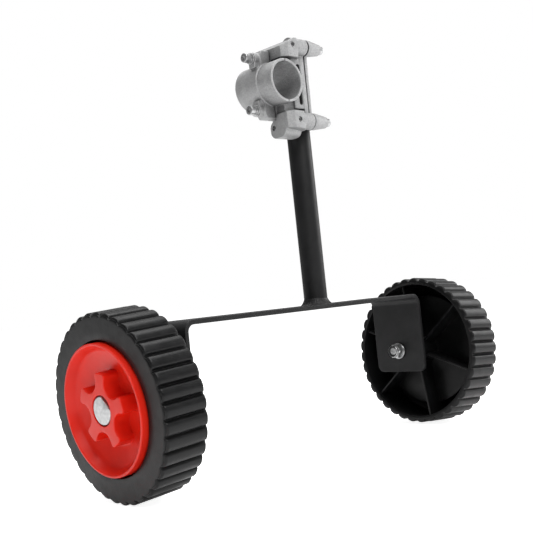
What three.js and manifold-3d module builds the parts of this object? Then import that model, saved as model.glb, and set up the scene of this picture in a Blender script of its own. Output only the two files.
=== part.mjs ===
// Two-wheeled support for a long-handled tool: an axle bracket bent from flat bar, two moulded wheels,
// a post welded to the bracket, and a cast clamp head that grips the post and the tool's shaft.
// Millimetres, +Z up. X runs along the axle, Y along the tool's shaft. The wheels stand on Z = 0.
import * as THREE from "three";
import { mergeVertices } from "three/addons/utils/BufferGeometryUtils.js";
import Module from "manifold-3d";

const wasm = await Module();
wasm.setup();

// ---- driving sizes; heights are measured from the axle until the model is set on the ground ----
const GAP = 0.3; // clearance between pieces that only touch
const RUNNING = 0.08; // radial clearance where one piece turns on another
const GRID = 0.005; // vertices are rounded to this step
const WHEEL_R = 75; // over the tread lugs
const WHEEL_WIDTH = 39.5;
const LUG_COUNT = 37;
const LUG_DEPTH = 3.6;
const TRACK_IN = 169; // centre line to the inner face of a tread, along the axle
const WEB_X = 23; // inner face of the wheel's web, from the inner face of the tread
const WEB_T = 3;
const RIM_INNER_R = 67;
const RECESS_R = 53.5;
const HUB_R = 13;
const HUB_IN = -6;
const LIP_X = 44.2; // outer edge of the hub dish
const LIP_R = 52;
const FLOOR_X = 30.2;
const STAR_TIP_R = 29.5;
const STAR_VALLEY_AT = 27;
const STAR_VALLEY_R = 10;
const STAR_FILLET_R = 3;
const HEAD_R = 11.3; // axle bolt's round head
const HEAD_SEAT = 39.2;
const AXLE_R = 4;
const BOLT_TIP = -14.2; // from the leg's outer face
const LEG_X = 149; // outer face of each bracket leg
const LEAN = THREE.MathUtils.degToRad(4); // each wheel leans out at the top
const BAR_T = 4;
const BAR_W = 60;
const BAR_TOP = 57;
const LEG_BOTTOM = -21;
const BEND_R = 6;
const POST_X = 31.5;
const POST_R = 11;
const POST_WALL = 1.8;
const POST_TOP = 300;
const SLEEVE_Z = 262; // axis of the sleeve that takes the tool's shaft
const SLEEVE_R = 17.5;
const SLEEVE_HALF = 24;
const PARTING = 0.4; // half the split between the sleeve's two halves
const EAR_Y = 1.5;
const EAR_OFF = 24; // sleeve axis to the ear screws
const BOLT_Y = 17;
const BOLT_UP = 34; // sleeve axis to the upper and lower clamp screws
const BOLT_DOWN = 35;
const LOCK_DOWN = 39; // sleeve axis to the screw that locks the post
const SADDLE_FACE = 31.2;
const LUG_PHASE = 8.6; // degrees
const STAR_PHASE = 82;
const RIB_PHASE = 22.1;
const RIB_COUNT = 6;
const FLAT_PHASE = 42;
const RIGHT_SPIN = -3.1;

// ---- materials ----
const finish = (name, color, roughness, metalness) =>
  Object.assign(new THREE.MeshStandardMaterial({ color, roughness, metalness }), { name });
const powderBlack = () => finish("black powder coat", 0x1b1b1c, 0.55, 0.1);
const tyreBlack = () => finish("black moulded plastic", 0x1f1f20, 0.6, 0);
const hubRed = () => finish("red moulded plastic", 0xe3231b, 0.35, 0);
const zinc = () => finish("zinc-plated steel", 0xc4c6c8, 0.3, 0.9);
const castAlloy = () => finish("cast aluminium", 0xb9babb, 0.5, 0.7);

// ---- solid helpers ----
function solid(geometry) {
  const plain = geometry.index ? geometry.toNonIndexed() : geometry.clone();
  for (const name of Object.keys(plain.attributes)) {
    if (name !== "position") {
      plain.deleteAttribute(name);
    }
  }
  const joined = mergeVertices(plain, 1e-4);
  const faces = [];
  for (let i = 0; i < joined.index.count; i += 3) {
    const [a, b, c] = joined.index.array.slice(i, i + 3);
    if (a !== b && b !== c && c !== a) {
      faces.push(a, b, c);
    }
  }
  return new wasm.Manifold(new wasm.Mesh({
    numProp: 3,
    vertProperties: new Float32Array(joined.attributes.position.array),
    triVerts: new Uint32Array(faces),
  }));
}

function unite(first, ...others) {
  return others.reduce((sum, next) => sum.add(next), first);
}

function block(x0, x1, y0, y1, z0, z1) {
  const geometry = new THREE.BoxGeometry(x1 - x0, y1 - y0, z1 - z0);
  geometry.translate((x0 + x1) / 2, (y0 + y1) / 2, (z0 + z1) / 2);
  return solid(geometry);
}

// Cylinder or cone along X from x0 (radius r0) to x1 (radius r1).
function rodX(x0, x1, y, z, r0, r1 = r0, sides = 24) {
  const geometry = new THREE.CylinderGeometry(r1, r0, x1 - x0, sides);
  geometry.rotateZ(-Math.PI / 2);
  geometry.translate((x0 + x1) / 2, y, z);
  return solid(geometry);
}

function rodY(y0, y1, x, z, r, sides = 40) {
  const geometry = new THREE.CylinderGeometry(r, r, y1 - y0, sides);
  geometry.translate(x, (y0 + y1) / 2, z);
  return solid(geometry);
}

function rodZ(z0, z1, x, y, r, sides = 40) {
  const geometry = new THREE.CylinderGeometry(r, r, z1 - z0, sides);
  geometry.rotateX(Math.PI / 2);
  geometry.translate(x, y, (z0 + z1) / 2);
  return solid(geometry);
}

// Solid of revolution about X from a profile of [x, r] pairs that starts and ends on the axis.
function turnedX(profile, sides = 40) {
  const points = profile.map(([x, r]) => new THREE.Vector2(r, x));
  const geometry = new THREE.LatheGeometry(points, sides);
  geometry.rotateZ(-Math.PI / 2);
  return solid(geometry);
}

// Outline of [y, z] pairs pushed along X from x0 to x1, with an optional chamfer round both ends.
function plateX(outline, x0, x1, bevel = 0) {
  const shape = new THREE.Shape(outline.map(([y, z]) => new THREE.Vector2(y, z)));
  const geometry = new THREE.ExtrudeGeometry(shape, {
    depth: x1 - x0 - 2 * bevel,
    bevelEnabled: bevel > 0,
    bevelThickness: bevel,
    bevelSize: bevel,
    bevelOffset: -bevel,
    bevelSegments: 1,
  });
  geometry.translate(0, 0, x0 + bevel);
  geometry.applyMatrix4(new THREE.Matrix4().set(0, 0, 1, 0, 1, 0, 0, 0, 0, 1, 0, 0, 0, 0, 0, 1));
  return solid(geometry);
}

// Outline of [x, z] pairs pushed along Y.
function plateY(outline, y0, y1) {
  const shape = new THREE.Shape(outline.map(([x, z]) => new THREE.Vector2(x, z)));
  const geometry = new THREE.ExtrudeGeometry(shape, { depth: y1 - y0, bevelEnabled: false });
  geometry.applyMatrix4(new THREE.Matrix4().set(1, 0, 0, 0, 0, 0, -1, y1, 0, 1, 0, 0, 0, 0, 0, 1));
  return solid(geometry);
}

// Outline of [x, y] pairs pushed along Z.
function plateZ(outline, z0, z1) {
  const shape = new THREE.Shape(outline.map(([x, y]) => new THREE.Vector2(x, y)));
  const geometry = new THREE.ExtrudeGeometry(shape, { depth: z1 - z0, bevelEnabled: false });
  geometry.translate(0, 0, z0);
  return solid(geometry);
}

// Points on an arc, with its angles in degrees.
function arc(cx, cy, r, from, to, count) {
  const points = [];
  for (let i = 0; i <= count; i += 1) {
    const a = THREE.MathUtils.degToRad(from + ((to - from) * i) / count);
    points.push([cx + r * Math.cos(a), cy + r * Math.sin(a)]);
  }
  return points;
}

function roundedBox(cx, cy, w, h, r, count = 4) {
  return [
    ...arc(cx + w / 2 - r, cy - h / 2 + r, r, -90, 0, count),
    ...arc(cx + w / 2 - r, cy + h / 2 - r, r, 0, 90, count),
    ...arc(cx - w / 2 + r, cy + h / 2 - r, r, 90, 180, count),
    ...arc(cx - w / 2 + r, cy - h / 2 + r, r, 180, 270, count),
  ];
}

function ringX(x0, x1, outer, inner, y = 0, z = 0) {
  return rodX(x0, x1, y, z, outer).subtract(rodX(x0 - 1, x1 + 1, y, z, inner));
}

const pieces = [];

function add(name, body, material, matrix = new THREE.Matrix4()) {
  const data = body.getMesh();
  const geometry = new THREE.BufferGeometry();
  geometry.setAttribute("position", new THREE.BufferAttribute(new Float32Array(data.vertProperties), 3));
  geometry.setIndex(new THREE.BufferAttribute(new Uint32Array(data.triVerts), 1));
  geometry.applyMatrix4(matrix);
  geometry.computeBoundingBox();
  pieces.push({ name, geometry, material });
}

// The same surface with its vertices on the grid, without the triangles that this closes up and the
// pairs of triangles that it lays back to back.
function onGrid(geometry) {
  const from = geometry.attributes.position.array;
  const known = new Map();
  const places = [];
  const numbers = [];
  for (let i = 0; i < from.length; i += 3) {
    const steps = [...from.slice(i, i + 3)].map((value) => Math.round(value / GRID));
    const key = steps.join(" ");
    if (!known.has(key)) {
      known.set(key, known.size);
      places.push(...steps.map((value) => value * GRID));
    }
    numbers.push(known.get(key));
  }
  const faces = new Map();
  for (let i = 0; i < geometry.index.count; i += 3) {
    const face = [...geometry.index.array.slice(i, i + 3)].map((corner) => numbers[corner]);
    const key = [...face].sort().join(" ");
    if (faces.has(key)) {
      faces.delete(key);
    } else if (new Set(face).size === 3) {
      faces.set(key, face);
    }
  }
  const clean = new THREE.BufferGeometry();
  clean.setAttribute("position", new THREE.BufferAttribute(new Float32Array(places), 3));
  clean.setIndex([...faces.values()].flat());
  clean.computeVertexNormals();
  return clean;
}

// ---- axle bracket: flat bar bent down at both ends ----
function bracket() {
  const outer = BEND_R + BAR_T;
  const cx = LEG_X - outer;
  const cz = BAR_TOP - outer;
  const outline = [
    [LEG_X - BAR_T, LEG_BOTTOM],
    [LEG_X, LEG_BOTTOM],
    ...arc(cx, cz, outer, 0, 90, 6),
    ...arc(-cx, cz, outer, 90, 180, 6),
    [-LEG_X, LEG_BOTTOM],
    [-LEG_X + BAR_T, LEG_BOTTOM],
    ...arc(-cx, cz, BEND_R, 180, 90, 6),
    ...arc(cx, cz, BEND_R, 90, 0, 6),
  ];
  const strip = plateY(outline, -BAR_W / 2, BAR_W / 2);
  const corners = plateX(roundedBox(0, 50, BAR_W + 0.02, 2 * (50 - LEG_BOTTOM), 7), -LEG_X - 1, LEG_X + 1);
  return strip.intersect(corners).subtract(rodX(-LEG_X - 2, LEG_X + 2, 0, 0, AXLE_R + 0.9));
}

// ---- post and its weld ----
function post() {
  const bore = rodZ(BAR_TOP - 1, POST_TOP + 1, POST_X, 0, POST_R - POST_WALL, 32);
  return rodZ(BAR_TOP + GAP, POST_TOP, POST_X, 0, POST_R).subtract(bore);
}

function weldBead() {
  const base = POST_R + 0.1;
  const section = [[0, 0], [4.2, 0], [3.6, 1.6], [2, 3], [1.2, 5], [0, 6.4], [0, 0]];
  const points = section.map(([out, up]) => new THREE.Vector2(base + out, up));
  const geometry = new THREE.LatheGeometry(points, 32);
  geometry.rotateX(Math.PI / 2);
  geometry.translate(POST_X, 0, BAR_TOP + 0.1);
  return solid(geometry);
}

// ---- wheel: local x runs outward from the inner face of the tread ----
function treadOutline() {
  const steps = [[0, LUG_DEPTH], [0.16, 0.9], [0.5, 0], [0.84, 0.9]];
  const outline = [];
  for (let i = 0; i < LUG_COUNT; i += 1) {
    for (const [part, drop] of steps) {
      const turn = (360 * (i + part - 0.5)) / LUG_COUNT + LUG_PHASE;
      outline.push(...arc(0, 0, WHEEL_R - drop, turn, turn, 1).slice(0, 1));
    }
  }
  return outline;
}

function wheel() {
  const rimFace = WHEEL_WIDTH - WEB_T;
  const hollow = turnedX([
    [-1, 0],
    [-1, RIM_INNER_R + 1.3],
    [rimFace, RIM_INNER_R - 0.5],
    [rimFace, RECESS_R + WEB_T],
    [WEB_X, RECESS_R + WEB_T],
    [WEB_X, 0],
  ]);
  const recess = rodX(WEB_X + WEB_T, WHEEL_WIDTH + 1, 0, 0, RECESS_R, RECESS_R, 40);
  const hub = rodX(HUB_IN, WEB_X + 1, 0, 0, HUB_R, HUB_R, 32);
  let body = plateX(treadOutline(), 0, WHEEL_WIDTH, 1.6).subtract(hollow).subtract(recess).add(hub);
  const ribOutline = [
    [3.5, 10],
    [WEB_X + 1, 10],
    [WEB_X + 1, RECESS_R + 1.5],
    [rimFace + 1, RECESS_R + 1.5],
    [rimFace + 1, RIM_INNER_R + 2.4],
    [3.5, RIM_INNER_R + 2.4],
  ];
  for (let i = 0; i < RIB_COUNT; i += 1) {
    const turn = THREE.MathUtils.degToRad(RIB_PHASE + (360 / RIB_COUNT) * i);
    const shape = new THREE.Shape(ribOutline.map(([x, r]) => new THREE.Vector2(x, r)));
    const rib = new THREE.ExtrudeGeometry(shape, { depth: 2, bevelEnabled: false });
    rib.translate(0, 0, -1);
    rib.rotateX(turn);
    body = body.add(solid(rib));
  }
  return body.subtract(rodX(HUB_IN - 1, WHEEL_WIDTH, 0, 0, AXLE_R + RUNNING, AXLE_R + RUNNING, 32));
}

// ---- red hub dish with a five-lobed boss ----
// The boss is a disc with five round valleys, and its lobes' corners are rounded.
function starOutline() {
  const filletAt = STAR_TIP_R - STAR_FILLET_R;
  const reach = STAR_VALLEY_R + STAR_FILLET_R;
  const toDeg = THREE.MathUtils.radToDeg;
  const apart = toDeg(Math.acos(
    (filletAt ** 2 + STAR_VALLEY_AT ** 2 - reach ** 2) / (2 * filletAt * STAR_VALLEY_AT),
  ));
  const opening = toDeg(Math.acos(
    (STAR_VALLEY_AT ** 2 + reach ** 2 - filletAt ** 2) / (2 * STAR_VALLEY_AT * reach),
  ));
  const outline = [];
  for (let i = 0; i < 5; i += 1) {
    const valley = STAR_PHASE + 36 + 72 * i;
    const centre = arc(0, 0, STAR_VALLEY_AT, valley, valley, 1)[0];
    const before = arc(0, 0, filletAt, valley - apart, valley - apart, 1)[0];
    const after = arc(0, 0, filletAt, valley + apart, valley + apart, 1)[0];
    outline.push(
      ...arc(...before, STAR_FILLET_R, valley - apart, valley + opening, 4),
      ...arc(...centre, STAR_VALLEY_R, valley + 180 + opening, valley + 180 - opening, 8).slice(1, -1),
      ...arc(...after, STAR_FILLET_R, valley - opening, valley + apart, 4),
    );
  }
  return outline;
}

function hubDish() {
  const dish = turnedX([
    [WEB_X + WEB_T + GAP, 0],
    [WEB_X + WEB_T + GAP, LIP_R],
    [LIP_X - 0.8, LIP_R],
    [LIP_X, LIP_R - 0.7],
    [LIP_X, LIP_R - 1.5],
    [LIP_X - 0.6, LIP_R - 2],
    [LIP_X - 8.2, LIP_R - 6],
    [FLOOR_X + 4.4, LIP_R - 9],
    [FLOOR_X, STAR_TIP_R + 0.8],
    [FLOOR_X, 0],
  ], 48);
  return dish
    .add(plateX(starOutline(), WEB_X + WEB_T + 1, LIP_X - 0.2, 1.2))
    .subtract(rodX(HEAD_SEAT, LIP_X + 1, 0, 0, HEAD_R + 0.8, HEAD_R + 0.8, 32))
    .subtract(rodX(0, LIP_X, 0, 0, AXLE_R + 0.5));
}

// ---- axle hardware: local x runs outward from the leg's outer face ----
const WHEEL_OFF = TRACK_IN - LEG_X;

function axleBolt() {
  const face = WHEEL_OFF + LIP_X - 0.4;
  const seat = WHEEL_OFF + HEAD_SEAT + GAP;
  const head = turnedX([
    [seat, 0],
    [seat, HEAD_R],
    [face - 1.2, HEAD_R],
    [face - 0.4, HEAD_R - 0.5],
    [face, HEAD_R - 1.6],
    [face, 0],
  ], 32);
  const flat = new THREE.BoxGeometry(20, 6, 30);
  flat.translate(seat + 1.5 + 10, HEAD_R - 2.6 + 3, 0);
  flat.rotateX(THREE.MathUtils.degToRad(FLAT_PHASE));
  return head.subtract(solid(flat)).add(rodX(BOLT_TIP, seat + 1, 0, 0, AXLE_R, AXLE_R, 32));
}

// Lock nut on the inner side of a leg: a hexagon with a round collar on its free end.
function lockNut(free, seat, flats, bore) {
  const corner = flats / Math.sqrt(3);
  const shoulder = free + 2.8;
  const crown = turnedX([
    [shoulder - 1, 0],
    [shoulder - 1, flats / 2 - 1],
    [shoulder + 1.2, corner + 0.3],
    [seat + 1, corner + 0.3],
    [seat + 1, 0],
  ], 24);
  return rodX(shoulder, seat, 0, 0, corner, corner, 6)
    .intersect(crown)
    .add(rodX(free, shoulder + 1, 0, 0, flats / 2 - 0.8, flats / 2 - 0.3))
    .subtract(rodX(free - 1, seat + 1, 0, 0, bore));
}

// From local axle coordinates to the model: side is -1 on the left and 1 on the right.
function axlePlace(side, spin, shift) {
  const matrix = new THREE.Matrix4().makeTranslation(side * LEG_X, 0, 0);
  matrix.multiply(new THREE.Matrix4().makeRotationY(side * LEAN));
  if (side < 0) {
    matrix.multiply(new THREE.Matrix4().makeRotationZ(Math.PI));
  }
  matrix.multiply(new THREE.Matrix4().makeRotationX(THREE.MathUtils.degToRad(spin)));
  return matrix.multiply(new THREE.Matrix4().makeTranslation(shift, 0, 0));
}

// ---- clamp head ----
const FAR = 60; // past the head on every side
const boltHeights = [SLEEVE_Z + BOLT_UP, SLEEVE_Z - BOLT_DOWN];
const earHeights = [SLEEVE_Z + EAR_OFF, SLEEVE_Z - EAR_OFF];
const LOCK_Z = SLEEVE_Z - LOCK_DOWN;
const BOSS_R = 7.8;
const FAR_BOSS_R = 6.7; // the bosses behind the post are slimmer and shorter
const FAR_BOSS_X = 20;
const FOOT_REACH = -4; // the lower block's far edge, beside the lug of the screw that locks the post
const BOSS_ROWS = [
  { y: -BOLT_Y, r: BOSS_R, start: 12, tip: 10 },
  { y: BOLT_Y, r: FAR_BOSS_R, start: FAR_BOSS_X, tip: FAR_BOSS_X + 0.5 },
];
const PIN_X = 11.5;

function sleeveBarrel() {
  return rodY(-SLEEVE_HALF, 0, 0, SLEEVE_Z, SLEEVE_R + 2.4)
    .add(rodY(-4.5, SLEEVE_HALF, 0, SLEEVE_Z, SLEEVE_R + 3.3));
}

const sleeveBore = () => rodY(-FAR, FAR, 0, SLEEVE_Z, SLEEVE_R);
const postGroove = () => rodZ(SLEEVE_Z - 2 * FAR, SLEEVE_Z + 2 * FAR, POST_X, 0, POST_R + RUNNING);

// Block at the top or bottom of the saddle: [x, z] outline, with its corners cut off in plan. In
// front of the bosses it stops at reach on the far side.
function cornerBlock(outline, reach = FAR) {
  const back = SADDLE_FACE - 8;
  const plan = [
    [PARTING, -SLEEVE_HALF + 5.3],
    [PARTING + 5.3, -SLEEVE_HALF],
    [18, -SLEEVE_HALF],
    [back, -BOLT_Y],
    [back, BOLT_Y],
    [18, SLEEVE_HALF],
    [PARTING + 5.3, SLEEVE_HALF],
    [PARTING, SLEEVE_HALF - 5.3],
  ];
  const tall = plateZ(plan, SLEEVE_Z - FAR, SLEEVE_Z + FAR);
  const body = plateY(outline, -SLEEVE_HALF - 1, SLEEVE_HALF + 1).intersect(tall);
  if (reach === FAR) {
    return body;
  }
  return body.subtract(block(-1, FAR_BOSS_X, reach, FAR, SLEEVE_Z - FAR, SLEEVE_Z + FAR));
}

function clampHoles(body, x0, x1) {
  let cut = body;
  for (const z of boltHeights) {
    for (const y of [-BOLT_Y, BOLT_Y]) {
      cut = cut.subtract(rodX(x0, x1, y, z, 2.8, 2.8, 16));
    }
  }
  return cut;
}

function saddle() {
  const back = SADDLE_FACE - 8;
  let body = unite(
    sleeveBarrel().intersect(block(PARTING, FAR, -FAR, FAR, SLEEVE_Z - FAR, SLEEVE_Z + FAR)),
    cornerBlock([
      [PARTING, SLEEVE_Z + 22.5],
      [back, SLEEVE_Z + 22.5],
      [back, SLEEVE_Z + 41],
      [14, SLEEVE_Z + 40.4],
      [PARTING, SLEEVE_Z + 33],
    ]),
    cornerBlock([
      [PARTING, SLEEVE_Z - 42],
      [14, SLEEVE_Z - 43.4],
      [back, SLEEVE_Z - 44],
      [back, SLEEVE_Z - 27],
      [PARTING, SLEEVE_Z - 27],
    ], FOOT_REACH),
    block(14, SADDLE_FACE - 0.5, -16.6, 16.6, SLEEVE_Z - 23.5, SLEEVE_Z + 26),
    block(14, SADDLE_FACE - 0.5, -13.9, 13.9, SLEEVE_Z - 40, SLEEVE_Z + 40),
    block(SADDLE_FACE - 5, SADDLE_FACE, -BOLT_Y, BOLT_Y, boltHeights[1], boltHeights[0]),
    block(PARTING, 16, -4.5, 7.5, SLEEVE_Z - 31, SLEEVE_Z - 17),
    block(PARTING, 16, -4.5, 7.5, SLEEVE_Z + 17, SLEEVE_Z + 31),
    block(2, 20, -15, 4.8, SLEEVE_Z - 30, SLEEVE_Z - 17),
    block(2, 20, -15, 4.8, SLEEVE_Z + 17, SLEEVE_Z + 30),
    plateX(roundedBox(-5.4, LOCK_Z - 2, 20.4, 17, 7.5), PARTING, 21, 1),
  );
  for (const z of boltHeights) {
    for (const { y, r, start } of BOSS_ROWS) {
      body = body.add(rodX(start, SADDLE_FACE, y, z, r));
    }
  }
  const slot = plateY(roundedBox(23.2, SLEEVE_Z - 0.5, 4, 38, 1.8), -30, -11.6);
  body = clampHoles(body.subtract(sleeveBore()).subtract(postGroove()).subtract(slot), 8, 40);
  for (const z of boltHeights) {
    body = body.subtract(rodY(-40, -BOLT_Y - 3.2, PIN_X, z, 2.3, 16));
  }
  for (const z of earHeights) {
    body = body.subtract(rodX(-1, 14, EAR_Y, z, 2.8, 2.8, 16));
  }
  return body.subtract(rodX(-1, 30, 0, LOCK_Z, 2.3, 2.3, 16));
}

function cap() {
  let body = sleeveBarrel().intersect(block(-FAR, -PARTING, -FAR, FAR, SLEEVE_Z - FAR, SLEEVE_Z + FAR));
  for (const way of [1, -1]) {
    const ear = [
      [-PARTING, SLEEVE_Z + way * 17],
      [-PARTING, SLEEVE_Z + way * 31],
      [-10, SLEEVE_Z + way * 31],
      [-12, SLEEVE_Z + way * 28],
      [-12, SLEEVE_Z + way * 17],
    ];
    const screwZ = SLEEVE_Z + way * EAR_OFF;
    const foot = [screwZ, SLEEVE_Z + way * 15].sort((a, b) => a - b);
    body = unite(
      body,
      plateY(way > 0 ? ear : ear.reverse(), -4.5, 7.5),
      rodX(-18, -8, EAR_Y, screwZ, 5.6),
      block(-17.8, -8, EAR_Y - 4, EAR_Y + 4, ...foot),
    );
  }
  body = body.subtract(sleeveBore());
  for (const z of earHeights) {
    body = body.subtract(rodX(-30, 1, EAR_Y, z, 2.8, 2.8, 16));
  }
  return body;
}

// The plate tapers: its clamping face stands further from the saddle at the top.
function clampPlate() {
  const low = boltHeights[1] - BOSS_R - 1;
  const high = boltHeights[0] + BOSS_R + 1;
  const face = (z) => SADDLE_FACE + 0.5 + (z - low) * 0.014;
  const strap = plateY([
    [face(low), low],
    [face(low) + 3.6, low],
    [face(high) + 3.6, high],
    [face(high), high],
  ], -BOLT_Y, BOLT_Y);
  let body = strap.intersect(block(30, 60, -FAR, FAR, boltHeights[1], boltHeights[0]));
  body = body.add(rodZ(SLEEVE_Z - 40, SLEEVE_Z + 40, POST_X, 0, POST_R + 3.4));
  for (const z of boltHeights) {
    for (const { y, r } of BOSS_ROWS) {
      body = unite(body, rodX(30, 36, y, z, r), rodX(35.9, 51, y, z, r, 5.4));
    }
  }
  const beyond = plateY([
    [face(low), low],
    [60, low],
    [60, high],
    [face(high), high],
  ], -FAR, FAR);
  return clampHoles(body.intersect(beyond).subtract(postGroove()), 20, 60);
}

// Socket-head screw along X: the head runs from seat to end, and the shank back to tip.
function screwX(tip, seat, end, y, z, shank, headR, socket) {
  const away = Math.sign(end - seat);
  const span = (a, b) => [Math.min(a, b), Math.max(a, b)];
  return rodX(...span(seat, end), y, z, headR)
    .add(rodX(...span(tip, seat + away), y, z, shank, shank, 16))
    .subtract(rodX(...span(end - away * 2.2, end + away), y, z, socket, socket, 6));
}

// Headless screw along X or Y with a hexagon socket in its outer end.
function pinX(outer, inner, y, z) {
  return rodX(outer, inner, y, z, 2, 2, 16).subtract(rodX(outer - 1, outer + 2.2, y, z, 1.2, 1.2, 6));
}

function pinY(outer, inner, x, z) {
  return rodY(outer, inner, x, z, 2, 16).subtract(rodY(outer - 1, outer + 2.2, x, z, 1.2, 6));
}

// ---- assembly ----
add("axle_bracket", bracket(), powderBlack());
add("post_tube", post(), powderBlack());
add("post_weld", weldBead(), powderBlack());

for (const [label, side, spin] of [["left", -1, 0], ["right", 1, RIGHT_SPIN]]) {
  const turning = axlePlace(side, spin, WHEEL_OFF);
  const fixed = axlePlace(side, 0, 0);
  add(`${label}_wheel`, wheel(), tyreBlack(), turning);
  add(`${label}_hub_dish`, hubDish(), hubRed(), turning);
  add(`${label}_axle_bolt`, axleBolt(), zinc(), fixed);
  add(`${label}_axle_spacer`, ringX(0.6, WHEEL_OFF + HUB_IN - GAP, 7, AXLE_R + 0.2), zinc(), fixed);
  add(`${label}_leg_washer`, ringX(-6.3, -4.7, 8, AXLE_R + 0.3), zinc(), fixed);
  add(`${label}_axle_nut`, lockNut(-15, -6.6, 13, AXLE_R + 0.1), zinc(), fixed);
}

add("sleeve_saddle", saddle(), castAlloy());
add("sleeve_cap", cap(), castAlloy());
add("post_clamp_plate", clampPlate(), castAlloy());

for (const [place, z] of [["upper", earHeights[0]], ["lower", earHeights[1]]]) {
  add(`${place}_sleeve_screw`, screwX(12.5, -21.6, -27, EAR_Y, z, 2.5, 4.3, 2.3), zinc());
  add(`${place}_sleeve_washer`, ringX(-19.6, -18.3, 5.3, 2.7, EAR_Y, z), zinc());
  add(`${place}_spring_washer`, ringX(-21.3, -19.9, 4.6, 2.7, EAR_Y, z), zinc());
}

for (const [place, z] of [["upper", boltHeights[0]], ["lower", boltHeights[1]]]) {
  for (const [depth, { y, tip }] of [["near", BOSS_ROWS[0]], ["far", BOSS_ROWS[1]]]) {
    add(`${place}_${depth}_clamp_screw`, screwX(tip, 51.3, 56, y, z, 2.5, 4, 2.1), zinc());
  }
  add(`${place}_locking_screw`, pinY(-SLEEVE_HALF + 0.6, -BOLT_Y - 3.4, PIN_X, z), zinc());
}
add("post_locking_screw", pinX(1.6, 19.6, 0, LOCK_Z), zinc());

// Everything is lifted until the wheels' lowest lugs rest on the ground.
const group = new THREE.Group();
group.name = "two_wheel_tool_support";
const lowest = Math.min(...pieces.map((piece) => piece.geometry.boundingBox.min.z));
for (const { name, geometry, material } of pieces) {
  geometry.translate(0, 0, -lowest);
  const mesh = new THREE.Mesh(onGrid(geometry), material);
  mesh.name = name;
  group.add(mesh);
}

export default group;
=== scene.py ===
"""Looks for the two-wheeled tool support: moulded wheels, red hubs, powder-coated bracket, cast clamp head.

Shapes are made in millimetres with the axle line at height zero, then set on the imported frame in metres.
"""
import math

import bmesh
import bpy
from mathutils import Matrix, Vector, noise


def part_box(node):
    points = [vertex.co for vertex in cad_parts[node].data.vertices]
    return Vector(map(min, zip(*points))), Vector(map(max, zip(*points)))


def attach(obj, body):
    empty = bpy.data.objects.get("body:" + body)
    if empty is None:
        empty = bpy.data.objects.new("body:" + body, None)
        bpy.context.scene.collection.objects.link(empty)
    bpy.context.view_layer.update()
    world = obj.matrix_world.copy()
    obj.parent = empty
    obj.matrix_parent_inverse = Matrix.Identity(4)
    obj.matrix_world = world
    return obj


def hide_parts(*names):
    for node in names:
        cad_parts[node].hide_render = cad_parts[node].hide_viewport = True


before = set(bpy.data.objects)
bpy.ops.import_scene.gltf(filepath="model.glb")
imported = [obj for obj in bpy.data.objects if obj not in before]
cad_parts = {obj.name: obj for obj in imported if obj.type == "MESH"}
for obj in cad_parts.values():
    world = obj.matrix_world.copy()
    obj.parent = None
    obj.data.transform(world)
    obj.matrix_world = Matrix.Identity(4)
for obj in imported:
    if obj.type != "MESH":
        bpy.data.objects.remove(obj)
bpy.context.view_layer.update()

MM = 0.001

# ---- sizes in millimetres and phases in degrees, as in the CAD model ----
GAP = 0.3
RUNNING = 0.08
WHEEL_R = 75
WHEEL_WIDTH = 39.5
LUG_COUNT = 37
LUG_DEPTH = 3.6
TRACK_IN = 169
WEB_X = 23
WEB_T = 3
RIM_INNER_R = 67
RECESS_R = 53.5
HUB_R = 13
HUB_IN = -6
LIP_X = 44.2
LIP_R = 52
FLOOR_X = 30.2
STAR_TIP_R = 29.5
STAR_VALLEY_AT = 27
STAR_VALLEY_R = 10
STAR_FILLET_R = 3
HEAD_R = 11.3
HEAD_SEAT = 39.2
AXLE_R = 4
BOLT_TIP = -14.2
LEG_X = 149
LEAN = math.radians(4)
BAR_T = 4
BAR_W = 60
BAR_TOP = 57
LEG_BOTTOM = -21
BEND_R = 6
POST_X = 31.5
POST_R = 11
POST_WALL = 1.8
POST_TOP = 300
SLEEVE_Z = 262
SLEEVE_R = 17.5
SLEEVE_HALF = 24
PARTING = 0.4
EAR_Y = 1.5
EAR_OFF = 24
BOLT_Y = 17
BOLT_UP = 34
BOLT_DOWN = 35
LOCK_Z = SLEEVE_Z - 39
SADDLE_FACE = 31.2
BOSS_R = 7.8
PIN_X = 11.5
FOOT_REACH = -4
FAR_BOSS_R = 6.7
FAR_BOSS_X = 20
LUG_PHASE = 8.6
STAR_PHASE = 82
RIB_PHASE = 22.1
FLAT_PHASE = 42
RIGHT_SPIN = -3.1
WHEEL_OFF = TRACK_IN - LEG_X
FAR = 60
RIB_COUNT = 6
BOLT_HEIGHTS = (SLEEVE_Z + BOLT_UP, SLEEVE_Z - BOLT_DOWN)
EAR_HEIGHTS = (SLEEVE_Z + EAR_OFF, SLEEVE_Z - EAR_OFF)
AXLE_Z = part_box("axle_bracket")[1].z / MM - BAR_TOP
MODEL = Matrix.Scale(MM, 4) @ Matrix.Translation((0, 0, AXLE_Z))

# ---- sizes and counts for the shapes below, in millimetres ----
LOBE_COUNT = 5
NUT_FLATS = 13
THREAD_PITCH = 1.25
THREAD_DEPTH = 0.55
SCREW_HOLE_R = 2.8
WASHER_BORE_R = 2.7
PIN_HOLE_R = 2.3
PIN_R = 2
PIN_SOCKET_R = 1.2
BOSS_TIP_R = 5.4
EAR_SIDES = (-4.6, 7.5)
CAST_VOXEL = 0.45
CAST_PASSES = 5
CLAMP_SCREW_SEAT, CLAMP_SCREW_END = 51.3, 56
SLEEVE_SCREW_TIP, SLEEVE_SCREW_SEAT, SLEEVE_SCREW_END = 12.5, -21.6, -27

# ---- how strongly the floor and the world glow ----
FLOOR_GLOW, FLOOR_GLOW_SEEN = 0.3, 0.9
FADE_FROM, FADE_TO = -0.9, 0.4
WORLD_DIM, WORLD_BRIGHT, WORLD_SEEN = 0.14, 0.42, 1.0

# ---- materials ----


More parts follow.
